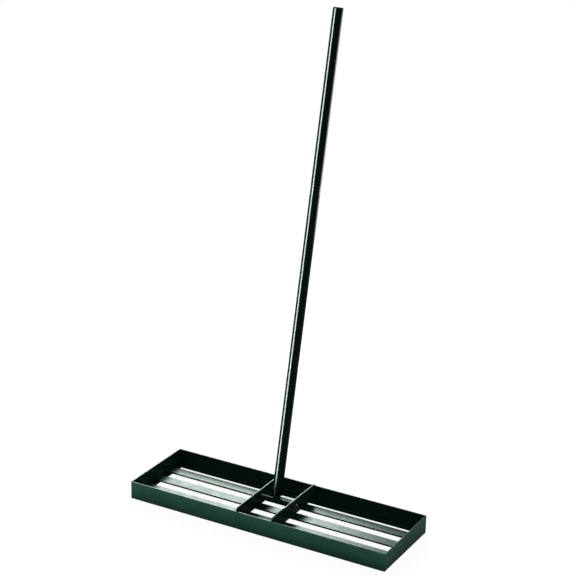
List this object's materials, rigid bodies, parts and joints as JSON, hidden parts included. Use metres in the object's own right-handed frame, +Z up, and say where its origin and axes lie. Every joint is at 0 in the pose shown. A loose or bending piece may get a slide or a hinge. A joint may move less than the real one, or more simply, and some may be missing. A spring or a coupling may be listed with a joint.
{
  "type": "lawn leveling rake",
  "caption": "Lawn leveling rake: open rectangular steel frame with flat smoothing slats, and a long sectional tube handle that tilts on a bolt between upright ribs.",
  "frame": {"origin": "middle of the middle slat's flat underside, 10 mm above the ground that the flanges stand on", "axes": "+X along the frame's long side, +Y to the back, the way the handle leans at rest, +Z up"},
  "size_m": [0.8, 0.4214, 1.3785],
  "materials": {
    "frame_coat": "dark green powder coat, nearly black, satin to gloss",
    "handle_coat": "dark green powder coat, nearly black, satin to gloss",
    "black_zinc": "black zinc plate, dull",
    "cap_plastic": "dark moulded plastic, satin"
  },
  "bodies": {
    "head": {"front_wall": "frame_coat", "back_wall": "frame_coat", "left_end_wall": "frame_coat", "right_end_wall": "frame_coat", "front_slat": "frame_coat", "middle_slat": "frame_coat", "rear_slat": "frame_coat", "left_rib": "frame_coat", "right_rib": "frame_coat", "pivot_bolt": "black_zinc", "head_washer": "black_zinc", "nut_washer": "black_zinc", "pivot_nut": "black_zinc"},
    "handle": {"pivot_sleeve": "handle_coat", "foot_plug": "handle_coat", "lower_tube": "handle_coat", "lower_coupler": "handle_coat", "middle_tube": "handle_coat", "upper_coupler": "handle_coat", "upper_tube": "handle_coat", "end_cap": "cap_plastic"}
  },
  "joints": [
    {"name": "handle_tilt", "type": "hinge", "parent": "head", "child": "handle", "pos_m": [0, 0, 0.034], "axis": [1, 0, 0], "range_deg": [-67, 90.5]}
  ]
}
